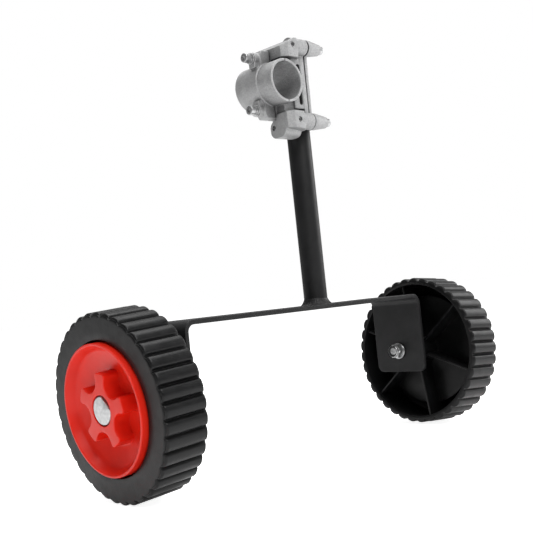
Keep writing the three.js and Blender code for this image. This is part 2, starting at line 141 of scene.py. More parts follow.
class Nodes:
    """Short calls for one material's node tree. Coordinates are the object's own, in metres."""

    def __init__(self, name):
        self.material = bpy.data.materials.new(name)
        self.material.use_nodes = True
        self.tree = self.material.node_tree
        self.shader = self.tree.nodes["Principled BSDF"]
        self.place = self.tree.nodes.new("ShaderNodeTexCoord").outputs["Object"]

    def add(self, kind, **values):
        node = self.tree.nodes.new(kind)
        for key, value in values.items():
            setattr(node, key, value)
        return node

    def link(self, start, end):
        self.tree.links.new(start, end)

    def noise(self, scale, detail=3.0, roughness=0.5, stretch=(1, 1, 1)):
        node = self.add("ShaderNodeTexNoise")
        node.inputs["Scale"].default_value = scale
        node.inputs["Detail"].default_value = detail
        node.inputs["Roughness"].default_value = roughness
        place = self.add("ShaderNodeMapping")
        place.inputs["Scale"].default_value = stretch
        self.link(self.place, place.inputs["Vector"])
        self.link(place.outputs["Vector"], node.inputs["Vector"])
        return node.outputs["Fac"]

    def ramp(self, value, low, high, to_low=0.0, to_high=1.0):
        node = self.add("ShaderNodeMapRange")
        self.link(value, node.inputs["Value"])
        for socket, number in zip(node.inputs[1:5], (low, high, to_low, to_high)):
            socket.default_value = number
        return node.outputs["Result"]

    def math(self, operation, a, b):
        node = self.add("ShaderNodeMath", operation=operation)
        for socket, value in zip(node.inputs, (a, b)):
            if isinstance(value, (int, float)):
                socket.default_value = value
            else:
                self.link(value, socket)
        return node.outputs["Value"]

    def mix(self, factor, a, b):
        node = self.add("ShaderNodeMix", data_type="RGBA")
        self.link(factor, node.inputs["Factor"])
        for socket, value in zip((node.inputs[6], node.inputs[7]), (a, b)):
            if isinstance(value, tuple):
                socket.default_value = (*value, 1)
            else:
                self.link(value, socket)
        return node.outputs[2]

    def edges(self, radius, low=0.02, high=0.25):
        """1 on sharp edges and corners, 0 on flat faces."""
        bevel = self.add("ShaderNodeBevel", samples=6)
        bevel.inputs["Radius"].default_value = radius
        face = self.add("ShaderNodeNewGeometry")
        dot = self.add("ShaderNodeVectorMath", operation="DOT_PRODUCT")
        self.link(bevel.outputs["Normal"], dot.inputs[0])
        self.link(face.outputs["Normal"], dot.inputs[1])
        return self.ramp(self.math("SUBTRACT", 1.0, dot.outputs["Value"]), low, high)

    def painted_cavity_shade(self, reach):
        """Mask for painted shade: 1 in the open, falling to 0 deep inside bores and between ribs, where the
        materials mix in a darker colour.
        """
        node = self.add("ShaderNodeAmbientOcclusion", samples=6)
        node.inputs["Distance"].default_value = reach
        return self.ramp(node.outputs["AO"], 0.15, 0.85)

    def bump(self, layers):
        """Bumps one on another: [(height, depth in metres)]."""
        normal = None
        for height, depth in layers:
            node = self.add("ShaderNodeBump")
            node.inputs["Strength"].default_value = 1.0
            node.inputs["Distance"].default_value = depth
            self.link(height, node.inputs["Height"])
            if normal is not None:
                self.link(normal, node.inputs["Normal"])
            normal = node.outputs["Normal"]
        self.link(normal, self.shader.inputs["Normal"])

    def finish(self, colour, roughness, metallic=0.0, specular=0.5):
        self.link(colour, self.shader.inputs["Base Color"])
        self.link(roughness, self.shader.inputs["Roughness"])
        self.shader.inputs["Metallic"].default_value = metallic
        self.shader.inputs["Specular IOR Level"].default_value = specular
        return self.material


def powder_black():
    """Satin powder coat: fine orange peel, faint mottling, slightly rubbed edges."""
    n = Nodes("powder_black")
    mottle = n.ramp(n.noise(60, 4), 0.35, 0.65)
    colour = n.mix(mottle, (0.0065, 0.0065, 0.007), (0.0105, 0.0105, 0.011))
    rub = n.math("MULTIPLY", n.edges(0.0012), n.ramp(n.noise(220, 4), 0.35, 0.65))
    colour = n.mix(rub, colour, (0.045, 0.045, 0.047))
    rough = n.ramp(n.noise(180, 5), 0.3, 0.7, 0.38, 0.5)
    n.bump([(n.noise(900, 2), 0.00007), (n.noise(3200, 2), 0.00003)])
    return n.finish(colour, rough, specular=0.24)


def wheel_black():
    """Moulded black plastic: fine spark-eroded grain, faint flow marks, worn lug tops, and painted shade
    darkening the bores and the gaps between ribs.
    """
    n = Nodes("wheel_black")
    flow = n.ramp(n.noise(35, 5, 0.6), 0.3, 0.7)
    colour = n.mix(flow, (0.003, 0.003, 0.0032), (0.0055, 0.0055, 0.0058))
    wear = n.math("MULTIPLY", n.edges(0.0015, 0.01, 0.2), n.ramp(n.noise(260, 5), 0.4, 0.7))
    colour = n.mix(wear, colour, (0.035, 0.035, 0.035))
    # Painted shade: near-black colour mixed in by ambient occlusion inside bores and between ribs.
    colour = n.mix(n.painted_cavity_shade(0.03), (0.0015, 0.0015, 0.0015), colour)
    rough = n.ramp(n.noise(140, 5), 0.3, 0.7, 0.3, 0.44)
    n.bump([(n.noise(1500, 3), 0.00006), (n.noise(120, 3), 0.00012)])
    return n.finish(colour, rough, specular=0.24)


def hub_red():
    """Red moulded plastic: soft gloss, very fine grain, paler on its edges."""
    n = Nodes("hub_red")
    flow = n.ramp(n.noise(45, 4), 0.3, 0.7)
    colour = n.mix(flow, (0.63, 0.014, 0.005), (0.71, 0.018, 0.0065))
    pale = n.math("MULTIPLY", n.edges(0.0012, 0.02, 0.3), n.ramp(n.noise(300, 3), 0.3, 0.6, 0.4, 0.8))
    colour = n.mix(pale, colour, (0.74, 0.03, 0.02))
    rough = n.ramp(n.noise(200, 4), 0.3, 0.7, 0.3, 0.42)
    n.bump([(n.noise(2200, 2), 0.000025), (n.noise(90, 2), 0.0001)])
    return n.finish(colour, rough, specular=0.28)


def zinc_steel():
    """Bright zinc plate: turning marks, faint clouding, brighter edges."""
    n = Nodes("zinc_steel")
    cloud = n.ramp(n.noise(320, 4), 0.3, 0.7)
    colour = n.mix(cloud, (0.38, 0.383, 0.386), (0.52, 0.523, 0.526))
    colour = n.mix(n.edges(0.0006, 0.03, 0.3), colour, (0.85, 0.85, 0.85))
    rough = n.ramp(n.noise(900, 4, 0.6, (1, 0.2, 0.2)), 0.3, 0.7, 0.26, 0.42)
    n.bump([(n.noise(3500, 2, 0.5, (1, 0.15, 0.15)), 0.00002), (n.noise(600, 2), 0.00002)])
    return n.finish(colour, rough, metallic=0.95)


def cast_alloy():
    """Die-cast aluminium, tumbled: pitted grain, cloudy tone, polished edges, and painted shade darkening
    the bores and pockets.
    """
    n = Nodes("cast_alloy")
    cloud = n.ramp(n.noise(110, 6, 0.6), 0.3, 0.7)
    colour = n.mix(cloud, (0.32, 0.321, 0.323), (0.42, 0.421, 0.423))
    grain = n.noise(1700, 4, 0.65)
    sand = n.noise(800, 5, 0.7)
    colour = n.mix(n.ramp(sand, 0.42, 0.68, 0.0, 0.75), colour, (0.23, 0.231, 0.234))
    colour = n.mix(n.ramp(grain, 0.6, 0.75), colour, (0.25, 0.251, 0.254))
    colour = n.mix(n.edges(0.0012, 0.03, 0.35), colour, (0.56, 0.561, 0.564))
    # Painted shade: dark colour mixed in by ambient occlusion inside bores, pockets and slots.
    colour = n.mix(n.painted_cavity_shade(0.03), (0.035, 0.035, 0.036), colour)
    rough = n.ramp(n.noise(700, 5), 0.3, 0.7, 0.42, 0.6)
    n.bump([(grain, 0.00012), (sand, 0.00028), (n.noise(420, 4), 0.00014)])
    return n.finish(colour, rough, metallic=0.45)


def nylon():
    """Insert ring of the lock nuts."""
    n = Nodes("nylon_insert")
    colour = n.mix(n.ramp(n.noise(500, 3), 0.3, 0.7), (0.006, 0.006, 0.0065), (0.012, 0.012, 0.0125))
    n.bump([(n.noise(1800, 2), 0.00003)])
    return n.finish(colour, n.ramp(n.noise(500, 3), 0.3, 0.7, 0.4, 0.5))


def floor_pale():
    """Pale floor that glows, more to the camera than to the object, so that its horizon doesn't show."""
    n = Nodes("floor_pale")
    colour = n.mix(n.ramp(n.noise(2, 2), 0.3, 0.7), (0.93, 0.93, 0.93), (0.95, 0.95, 0.95))
    n.bump([(n.noise(40, 2), 0.0001)])
    n.shader.inputs["Emission Color"].default_value = (1, 1, 1, 1)
    seen = n.add("ShaderNodeLightPath").outputs["Is Camera Ray"]
    n.link(n.ramp(seen, 0, 1, FLOOR_GLOW, FLOOR_GLOW_SEEN), n.shader.inputs["Emission Strength"])
    return n.finish(colour, n.ramp(n.noise(3, 2), 0.3, 0.7, 0.75, 0.85), specular=0.0)


MATERIALS = {
    "powder_black": powder_black(),
    "wheel_black": wheel_black(),
    "hub_red": hub_red(),
    "zinc_steel": zinc_steel(),
    "cast_alloy": cast_alloy(),
}

NYLON = nylon()

# ---- mesh helpers ----


def make(name, points, faces):
    mesh = bpy.data.meshes.new(name)
    mesh.from_pydata([tuple(p) for p in points], [], faces)
    mesh.validate()
    obj = bpy.data.objects.new(name, mesh)
    bpy.context.scene.collection.objects.link(obj)
    fresh = bmesh.new()
    fresh.from_mesh(mesh)
    bmesh.ops.recalc_face_normals(fresh, faces=fresh.faces)
    if fresh.calc_volume(signed=True) < 0:
        bmesh.ops.reverse_faces(fresh, faces=fresh.faces)
    fresh.to_mesh(mesh)
    fresh.free()
    return obj


def bake(obj):
    """Applies the object's modifiers."""
    graph = bpy.context.evaluated_depsgraph_get()
    graph.update()
    mesh = bpy.data.meshes.new_from_object(obj.evaluated_get(graph))
    old = obj.data
    obj.modifiers.clear()
    obj.data = mesh
    bpy.data.meshes.remove(old)
    return obj


def combine(obj, others, operation):
    for other in others:
        mod = obj.modifiers.new("combine", "BOOLEAN")
        mod.operation = operation
        mod.solver = "MANIFOLD"
        mod.object = other
        bake(obj)
        bpy.data.objects.remove(other)
    return obj


def unite(first, *others):
    return combine(first, others, "UNION")


def cut(first, *others):
    return combine(first, others, "DIFFERENCE")


def overlap(first, *others):
    return combine(first, others, "INTERSECT")


def bevel(obj, width, segments=3, angle=35):
    mod = obj.modifiers.new("bevel", "BEVEL")
    mod.width = width
    mod.segments = segments
    mod.limit_method = "ANGLE"
    mod.angle_limit = math.radians(angle)
    mod.use_clamp_overlap = True
    return bake(obj)


def dissolve(obj):
    """Joins the coplanar triangles that a boolean leaves."""
    mod = obj.modifiers.new("dissolve", "DECIMATE")
    mod.decimate_type = "DISSOLVE"
    mod.angle_limit = math.radians(1)
    return bake(obj)


def cast(obj):
    """Rounds every edge as a casting's: one even skin, then smoothing."""
    remesh = obj.modifiers.new("skin", "REMESH")
    remesh.mode = "VOXEL"
    remesh.voxel_size = CAST_VOXEL
    smooth = obj.modifiers.new("soften", "SMOOTH")
    smooth.factor = 0.5
    smooth.iterations = CAST_PASSES
    return bake(obj)


def shade(obj, angle=35):
    """Smooth shading with sharp edges kept above the angle."""
    mesh = obj.data
    mesh.shade_smooth()
    mesh.set_sharp_from_angle(angle=math.radians(angle))
    return obj


def arc(cx, cy, r, start, end, count):
    points = []
    for i in range(count + 1):
        a = math.radians(start + (end - start) * i / count)
        points.append((cx + r * math.cos(a), cy + r * math.sin(a)))
    return points


def rounded_box(cx, cy, w, h, r, count=8):
    return [
        *arc(cx + w / 2 - r, cy - h / 2 + r, r, -90, 0, count),
        *arc(cx + w / 2 - r, cy + h / 2 - r, r, 0, 90, count),
        *arc(cx - w / 2 + r, cy + h / 2 - r, r, 90, 180, count),
        *arc(cx - w / 2 + r, cy - h / 2 + r, r, 180, 270, count),
    ]


ORDERS = {
    "X": lambda u, v, w: (w, u, v),
    "Y": lambda u, v, w: (u, w, v),
    "Z": lambda u, v, w: (u, v, w),
}


def prism(outline, axis, low, high):
    """Outline pushed along an axis: [y, z] along X, [x, z] along Y or [x, y] along Z."""
    order = ORDERS[axis]
    n = len(outline)
    points = [order(u, v, low) for u, v in outline] + [order(u, v, high) for u, v in outline]
    faces = [list(range(n))[::-1], list(range(n, 2 * n))]
    faces += [[i, (i + 1) % n, n + (i + 1) % n, n + i] for i in range(n)]
    return make("prism", points, faces)


def block(x0, x1, y0, y1, z0, z1):
    return prism([(x0, y0), (x1, y0), (x1, y1), (x0, y1)], "Z", z0, z1)


def lathe(profile, axis="X", centre=(0, 0), sides=96, closed=False):
    """Solid of revolution: [along, radius] pairs from axis to axis, or a closed ring section."""
    order = ORDERS[axis]
    points = []
    rows = []
    for along, radius in profile:
        if radius == 0:
            rows.append([len(points)] * sides)
            points.append(order(centre[0], centre[1], along))
            continue
        rows.append(list(range(len(points), len(points) + sides)))
        for i in range(sides):
            a = 2 * math.pi * i / sides
            points.append(order(centre[0] + radius * math.cos(a), centre[1] + radius * math.sin(a), along))
    faces = []
    for j in range(len(rows) if closed else len(rows) - 1):
        here, there = rows[j], rows[(j + 1) % len(rows)]
        for i in range(sides):
            k = (i + 1) % sides
            ring = [here[i], here[k], there[k], there[i]]
            face = list(dict.fromkeys(ring))
            if len(face) > 2:
                faces.append(face)
    return make("lathe", points, faces)


def hexagon(corner, centre=(0, 0)):
    """Outline of a hexagon, given the distance from its centre to a corner."""
    return [(centre[0] + corner * math.cos(math.pi * i / 3), centre[1] + corner * math.sin(math.pi * i / 3))
            for i in range(6)]


def rod(axis, low, high, centre, r0, r1=None, sides=64):
    r1 = r0 if r1 is None else r1
    return lathe([(low, 0), (low, r0), (high, r1), (high, 0)], axis, centre, sides)


def rounded_profile(corners, steps=5):
    """Profile through [along, radius, round-off] corners, each turned into an arc-like curve."""
    result = []
    count = len(corners)
    for i, (x, r, size) in enumerate(corners):
        if size == 0 or i in (0, count - 1):
            result.append((x, r))
            continue
        here = Vector((x, r))
        before = Vector(corners[i - 1][:2])
        after = Vector(corners[i + 1][:2])
        start = here + (before - here).normalized() * size
        end = here + (after - here).normalized() * size
        for j in range(steps + 1):
            t = j / steps
            p = start * (1 - t) ** 2 + here * 2 * t * (1 - t) + end * t * t
            result.append((p.x, p.y))
    return result


def finish_piece(obj, name, body, slot, node, matrix=None, angle=35):
    """Names the piece, sets it in place, gives it its finish, hangs it on its body and hides the CAD node it
    stands for.
    """
    obj.name = name
    obj.data.name = name
    obj.data.materials.clear()
    obj.data.materials.append(MATERIALS[slot])
    obj.data.transform(MODEL @ matrix if matrix else MODEL)
    shade(obj, angle)
    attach(obj, body)
    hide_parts(node)
    return obj


def axle_place(side, spin=0.0):
    """Local x runs outward along the axle from the leg's outer face; side is -1 left, 1 right."""
    matrix = Matrix.Translation((side * LEG_X, 0, 0)) @ Matrix.Rotation(side * LEAN, 4, "Y")
    if side < 0:
        matrix = matrix @ Matrix.Rotation(math.pi, 4, "Z")
    return matrix @ Matrix.Rotation(math.radians(spin), 4, "X")


def shifted(matrix, x):
    return matrix @ Matrix.Translation((x, 0, 0))


# ---- wheels ----
LUG_STEPS = 24
TREAD_ROOT = WHEEL_R - LUG_DEPTH
LUG_END = 1.7


def lug_height(part):
    """Height of the tread across one lug pitch; part runs from 0 to 1, with the lug in the middle."""
    out = abs(part - 0.5)
    crown = 1 - 0.27 * min(out / 0.34, 1.3) ** 2
    fall = min(max((0.492 - out) / 0.15, 0), 1)
    return crown * fall * fall * (3 - 2 * fall)


def lug_end(x):
    """Rounds the lugs off at both ends."""
    inside = min(x - 0.5, WHEEL_WIDTH - 0.9 - x) / LUG_END
    inside = min(max(inside, 0), 1)
    return 0.5 + 0.5 * math.sqrt(1 - (1 - inside) ** 2)


def wheel_section():
    """Closed section of the wheel as [x, radius, share of lug height]."""
    rim = WHEEL_WIDTH - WEB_T
    fixed = [
        (WHEEL_WIDTH, TREAD_ROOT - 0.8), (WHEEL_WIDTH, 66), (WHEEL_WIDTH, 60),
        (WHEEL_WIDTH, RECESS_R + 1), (WHEEL_WIDTH - 0.2, RECESS_R + 0.35), (WHEEL_WIDTH - 0.7, RECESS_R),
        (34, RECESS_R), (WEB_X + WEB_T + 1, RECESS_R), (WEB_X + WEB_T + 0.3, RECESS_R - 0.3),
        (WEB_X + WEB_T, RECESS_R - 1), (WEB_X + WEB_T, 30), (WEB_X + WEB_T, AXLE_R + RUNNING),
        (10, AXLE_R + RUNNING), (HUB_IN + 0.5, AXLE_R + RUNNING), (HUB_IN, AXLE_R + 0.6),
        (HUB_IN, HUB_R - 0.6), (HUB_IN + 0.2, HUB_R - 0.2), (HUB_IN + 0.6, HUB_R),
        (10, HUB_R), (WEB_X - 1.6, HUB_R), (WEB_X - 0.5, HUB_R + 0.5), (WEB_X, HUB_R + 1.6),
        (WEB_X, 30), (WEB_X, RECESS_R + 1.6), (WEB_X + 0.4, RECESS_R + WEB_T - 0.3),
        (WEB_X + 1.4, RECESS_R + WEB_T), (rim - 1.5, RECESS_R + WEB_T), (rim - 0.4, RECESS_R + WEB_T + 0.4),
        (rim, RECESS_R + WEB_T + 1.5), (rim, RIM_INNER_R - 2), (rim - 0.4, RIM_INNER_R - 0.8),
        (rim - 1.5, RIM_INNER_R - 0.4), (20, RIM_INNER_R + 0.3), (1.2, RIM_INNER_R + 1.2),
        (0.3, RIM_INNER_R + 1.35), (0, RIM_INNER_R + 1.8), (0, TREAD_ROOT - 0.8),
    ]
    stations = [0.5, 0.62, 0.8, 1.05, 1.4, 1.9, 2.5, 3.2, 6, 12, 20, 28, 33, 35.9, 36.6, 37.2, 37.7, 38.1,
                38.35, 38.5, 38.6]
    section = [(0.0, TREAD_ROOT - 0.3, 0.3), (0.15, TREAD_ROOT - 0.08, 0.42)]
    section += [(x, TREAD_ROOT, lug_end(x)) for x in stations]
    section += [(WHEEL_WIDTH - 0.55, TREAD_ROOT, 0.5), (WHEEL_WIDTH - 0.2, TREAD_ROOT - 0.08, 0.42)]
    section += [(WHEEL_WIDTH, TREAD_ROOT - 0.3, 0.3)]
    return section + [(x, r, 0) for x, r in fixed]


def make_wheel():
    section = wheel_section()
    around = LUG_COUNT * LUG_STEPS
    points = []
    for i in range(around):
        pitch = i / LUG_STEPS
        a = 2 * math.pi * (pitch - 0.5) / LUG_COUNT + math.radians(LUG_PHASE)
        height = LUG_DEPTH * lug_height(pitch % 1)
        for x, r, share in section:
            radius = r + height * share
            points.append((x, radius * math.cos(a), radius * math.sin(a)))
    n = len(section)
    faces = []
    for i in range(around):
        here, there = i * n, ((i + 1) % around) * n
        for j in range(n):
            k = (j + 1) % n
            faces.append([here + j, here + k, there + k, there + j])
    body = make("wheel", points, faces)
    rim = WHEEL_WIDTH - WEB_T
    outline = [
        (3.5, HUB_R - 3), (WEB_X + 1, HUB_R - 3), (WEB_X + 1, RECESS_R + 1.5), (rim + 1, RECESS_R + 1.5),
        (rim + 1, RIM_INNER_R + 2.4), (3.5, RIM_INNER_R + 2.4),
    ]
    for i in range(RIB_COUNT):
        rib = prism(outline, "Z", -1, 1)
        rib = bevel(rib, 0.35, 2)
        rib.data.transform(Matrix.Rotation(math.radians(RIB_PHASE + 360 / RIB_COUNT * i), 4, "X"))
        body = unite(body, rib)
    return body


def star_outline(fine=6):
    filled = STAR_TIP_R - STAR_FILLET_R
    reach = STAR_VALLEY_R + STAR_FILLET_R
    apart = math.degrees(math.acos(
        (filled ** 2 + STAR_VALLEY_AT ** 2 - reach ** 2) / (2 * filled * STAR_VALLEY_AT)))
    opening = math.degrees(math.acos(
        (STAR_VALLEY_AT ** 2 + reach ** 2 - filled ** 2) / (2 * STAR_VALLEY_AT * reach)))
    outline = []
    for i in range(LOBE_COUNT):
        valley = STAR_PHASE + 36 + 72 * i
        centre = arc(0, 0, STAR_VALLEY_AT, valley, valley, 1)[0]
        before = arc(0, 0, filled, valley - apart, valley - apart, 1)[0]
        after = arc(0, 0, filled, valley + apart, valley + apart, 1)[0]
        outline += arc(*before, STAR_FILLET_R, valley - apart, valley + opening, fine * 2)
        inward = valley + 180
        outline += arc(*centre, STAR_VALLEY_R, inward + opening, inward - opening, fine * 4)[1:-1]
        outline += arc(*after, STAR_FILLET_R, valley - opening, valley + apart, fine * 2)
        outline += arc(0, 0, STAR_TIP_R, valley + apart, valley + 72 - apart, fine)[1:-1]
    return outline


def offset(outline, amount):
    """Moves a closed outline outward by amount, along its own normals."""
    n = len(outline)
    moved = []
    for i in range(n):
        before, here, after = (Vector(outline[k % n]) for k in (i - 1, i, i + 1))
        along = (after - before).normalized()
        moved.append(tuple(here + Vector((along.y, -along.x)) * amount))
    return moved


def make_star():
    """The five-lobed boss: fillet at the floor, slight draft, rounded top edge."""
    outline = star_outline()
    top = LIP_X - 0.2
    levels = [(WEB_X + WEB_T + 1, 0.3), (FLOOR_X - 0.2, 0.3), (FLOOR_X + 0.15, 0.25), (FLOOR_X + 0.6, 0.12)]
    levels += [(FLOOR_X + 1.6, 0.0), (top - 1.0, -0.25)]
    for i in range(1, 7):
        a = math.radians(15 * i)
        levels.append((top - 0.9 + 0.9 * math.sin(a), -0.25 - 0.9 * (1 - math.cos(a))))
    n = len(outline)
    points = []
    for x, out in levels:
        points += [(x, y, z) for y, z in offset(outline, out)]
    faces = [list(range(n)), list(range(len(points) - n, len(points)))]
    for j in range(len(levels) - 1):
        for i in range(n):
            k = (i + 1) % n
            faces.append([j * n + i, j * n + k, (j + 1) * n + k, (j + 1) * n + i])
    return make("star", points, faces)


def make_hub_dish():
    back = WEB_X + WEB_T + GAP
    profile = rounded_profile([
        (back, 0, 0), (back, LIP_R, 0.8), (LIP_X, LIP_R, 0.75), (LIP_X, LIP_R - 2, 0.7),
        (LIP_X - 8.2, LIP_R - 6, 2.2), (FLOOR_X + 4.4, LIP_R - 9, 2.5), (FLOOR_X, STAR_TIP_R + 0.8, 1.5),
        (FLOOR_X, 0, 0),
    ], 6)
    dish = unite(lathe(profile, sides=144), make_star())
    well = lathe(rounded_profile([
        (HEAD_SEAT, 0, 0), (HEAD_SEAT, HEAD_R + 0.8, 0.4), (LIP_X - 0.7, HEAD_R + 0.8, 0),
        (LIP_X + 1, HEAD_R + 2.2, 0), (LIP_X + 1, 0, 0),
    ]), sides=96)
    return cut(dish, well, rod("X", 0, LIP_X, (0, 0), AXLE_R + 0.5, sides=48))


def make_axle_bolt():
    face = WHEEL_OFF + LIP_X - 0.4
    seat = WHEEL_OFF + HEAD_SEAT + GAP
    head = lathe(rounded_profile([
        (seat, 0, 0), (seat, HEAD_R, 0.3), (face, HEAD_R, 1.1), (face, 0, 0)], 6), sides=96)
    flat = block(seat + 1.5, face + 5, HEAD_R - 2.6, HEAD_R + 5, -15, 15)
    flat.data.transform(Matrix.Rotation(math.radians(FLAT_PHASE), 4, "X"))
    head = bevel(cut(head, flat), 0.25, 2, 50)
    shank = [(BOLT_TIP, 0), (BOLT_TIP, AXLE_R - 0.8), (BOLT_TIP + 0.8, AXLE_R)]
    turn = BOLT_TIP + 0.8
    while turn < -1:
        shank += [(turn + 0.3, AXLE_R), (turn + 0.62, AXLE_R - THREAD_DEPTH), (turn + 0.95, AXLE_R)]
        turn += THREAD_PITCH
    shank += [(seat + 1, AXLE_R), (seat + 1, 0)]
    return unite(head, lathe(shank, sides=64))


def make_lock_nut():
    free, seat, bore = -15, -6.6, AXLE_R + 0.1
    corner = NUT_FLATS / math.sqrt(3)
    shoulder = free + 2.8
    crown = lathe([(shoulder - 1, 0), (shoulder - 1, NUT_FLATS / 2 - 1), (shoulder + 1.2, corner + 0.3),
                   (seat - 1.0, corner + 0.3), (seat + 0.5, corner - 0.6), (seat + 0.5, 0)], sides=72)
    nut = overlap(prism(hexagon(corner), "X", shoulder, seat), crown)
    collar = lathe(rounded_profile([
        (shoulder + 1, 0, 0), (shoulder + 1, NUT_FLATS / 2 - 0.3, 0), (free, NUT_FLATS / 2 - 0.7, 1.0),
        (free, 0, 0)], 5), sides=72)
    seat_ring = rod("X", free - 1, free + 2.5, (0, 0), AXLE_R + 1.65, sides=48)
    return cut(unite(nut, collar), seat_ring, rod("X", free - 1, seat + 1, (0, 0), bore, sides=48))


def make_ring(x0, x1, outer, inner, centre=(0, 0), edge=0.25):
    profile = [(x0 + edge, inner), (x0, inner + edge), (x0, outer - edge), (x0 + edge, outer),
               (x1 - edge, outer), (x1, outer - edge), (x1, inner + edge), (x1 - edge, inner)]
    return lathe(profile, "X", centre, 64, closed=True)


def make_split_ring(x0, x1, outer, inner, centre):
    """Spring washer: a ring cut through on a slant, its ends sprung slightly apart."""
    ring = make_ring(x0, x1, outer, inner, centre, 0.15)
    knife = prism([(-0.35, -9), (0.35, -9), (0.95, 9), (0.25, 9)], "Z", 0, 30)
    knife.data.transform(Matrix.Translation(((x0 + x1) / 2 - 0.3, centre[0], centre[1])))
    return cut(ring, knife)


wheel_mesh = make_wheel()
dish_mesh = make_hub_dish()
bolt_mesh = make_axle_bolt()
nut_mesh = make_lock_nut()


def copy_of(obj):
    twin = obj.copy()
    twin.data = obj.data.copy()
    bpy.context.scene.collection.objects.link(twin)
    return twin


for label, side, spin in (("left", -1, 0.0), ("right", 1, RIGHT_SPIN)):
    turning = shifted(axle_place(side, spin), WHEEL_OFF)
    fixed = axle_place(side)
    rolling = f"wheel_{label}"
    finish_piece(
        copy_of(wheel_mesh), f"{label}_wheel_moulding", rolling, "wheel_black", f"{label}_wheel", turning)
    finish_piece(
        copy_of(dish_mesh), f"{label}_hub_moulding", rolling, "hub_red", f"{label}_hub_dish", turning)
    finish_piece(
        copy_of(bolt_mesh), f"{label}_axle_bolt_turned", "frame", "zinc_steel", f"{label}_axle_bolt", fixed)
    spacer = make_ring(0.6, WHEEL_OFF + HUB_IN - GAP, 7, AXLE_R + 0.2)
    finish_piece(spacer, f"{label}_axle_spacer_turned", "frame", "zinc_steel", f"{label}_axle_spacer", fixed)
    washer = make_ring(-6.3, -4.7, 8, AXLE_R + 0.3)
    finish_piece(washer, f"{label}_leg_washer_pressed", "frame", "zinc_steel", f"{label}_leg_washer", fixed)
    finish_piece(
        copy_of(nut_mesh), f"{label}_axle_nut_formed", "frame", "zinc_steel", f"{label}_axle_nut", fixed)
    insert = make_ring(-14.4, -12.6, 5.6, AXLE_R + 0.15)
    finish_piece(insert, f"{label}_nut_insert", "frame", "wheel_black", f"{label}_axle_nut", fixed)
    insert.data.materials[0] = NYLON

for source in (wheel_mesh, dish_mesh, bolt_mesh, nut_mesh):
    bpy.data.objects.remove(source)

# ---- bracket, post and weld ----


def make_bracket():
    outer = BEND_R + BAR_T
    cx, cz = LEG_X - outer, BAR_TOP - outer
    outline = [
        (LEG_X - BAR_T, LEG_BOTTOM), (LEG_X, LEG_BOTTOM),
        *arc(cx, cz, outer, 0, 90, 20), *arc(-cx, cz, outer, 90, 180, 20),
        (-LEG_X, LEG_BOTTOM), (-LEG_X + BAR_T, LEG_BOTTOM),
        *arc(-cx, cz, BEND_R, 180, 90, 20), *arc(cx, cz, BEND_R, 90, 0, 20),
    ]
    strip = prism(outline, "Y", -BAR_W / 2, BAR_W / 2)
    corners = prism(rounded_box(0, 50, BAR_W + 0.02, 2 * (50 - LEG_BOTTOM), 7), "X", -LEG_X - 1, LEG_X + 1)
    strip = cut(overlap(strip, corners), rod("X", -LEG_X - 2, LEG_X + 2, (0, 0), AXLE_R + 0.9))
    strip = bevel(dissolve(strip), 0.8, 3, 40)
    even = strip.modifiers.new("even", "WEIGHTED_NORMAL")
    even.weight = 100
    return strip


def make_post():
    low, high = BAR_TOP + GAP, POST_TOP
    inner = POST_R - POST_WALL
    section = [(low, inner), (low, POST_R), (high - 0.5, POST_R), (high - 0.15, POST_R - 0.15),
               (high, POST_R - 0.5), (high, inner + 0.5), (high - 0.15, inner + 0.15), (high - 0.5, inner)]
    return lathe(section, "Z", (POST_X, 0), 96, closed=True)


def make_weld():
    """Fillet weld laid in overlapping ripples round the post's foot."""
    around, across = 220, 14
    points = []
    for i in range(around):
        a = 2 * math.pi * i / around
        ripple = abs(math.sin(17 * a + 0.6 * math.sin(3 * a)))
        swell = 0.86 + 0.1 * ripple + 0.12 * noise.noise((2.2 * math.cos(a), 2.2 * math.sin(a), 5))
        for j in range(across):
            t = j / (across - 1)
            out = 4.2 * (1 - t) ** 1.35 * swell
            up = 6.3 * t ** 1.35 * swell
            r = POST_R + 0.1 + out
            points.append((POST_X + r * math.cos(a), r * math.sin(a), BAR_TOP + 0.1 + up))
        points.append((POST_X + (POST_R + 0.1) * math.cos(a), (POST_R + 0.1) * math.sin(a), BAR_TOP + 0.1))
    n = across + 1
    faces = []
    for i in range(around):
        here, there = i * n, ((i + 1) % around) * n
        for j in range(n):
            k = (j + 1) % n
            faces.append([here + j, there + j, there + k, here + k])
    return make("weld", points, faces)


finish_piece(make_bracket(), "bent_bar", "frame", "powder_black", "axle_bracket", angle=30)
finish_piece(make_post(), "post_drawn", "frame", "powder_black", "post_tube")
finish_piece(make_weld(), "post_weld_ripples", "frame", "powder_black", "post_weld", angle=80)

# ---- clamp head ----


def barrel():
    return unite(
        rod("Y", -SLEEVE_HALF, 0, (0, SLEEVE_Z), SLEEVE_R + 2.4, sides=96),
        rod("Y", -4.5, SLEEVE_HALF, (0, SLEEVE_Z), SLEEVE_R + 3.3, sides=96),
    )


def sleeve_bore():
    return rod("Y", -FAR, FAR, (0, SLEEVE_Z), SLEEVE_R, sides=96)


def post_groove():
    return rod("Z", SLEEVE_Z - 2 * FAR, SLEEVE_Z + 2 * FAR, (POST_X, 0), POST_R + RUNNING, sides=96)


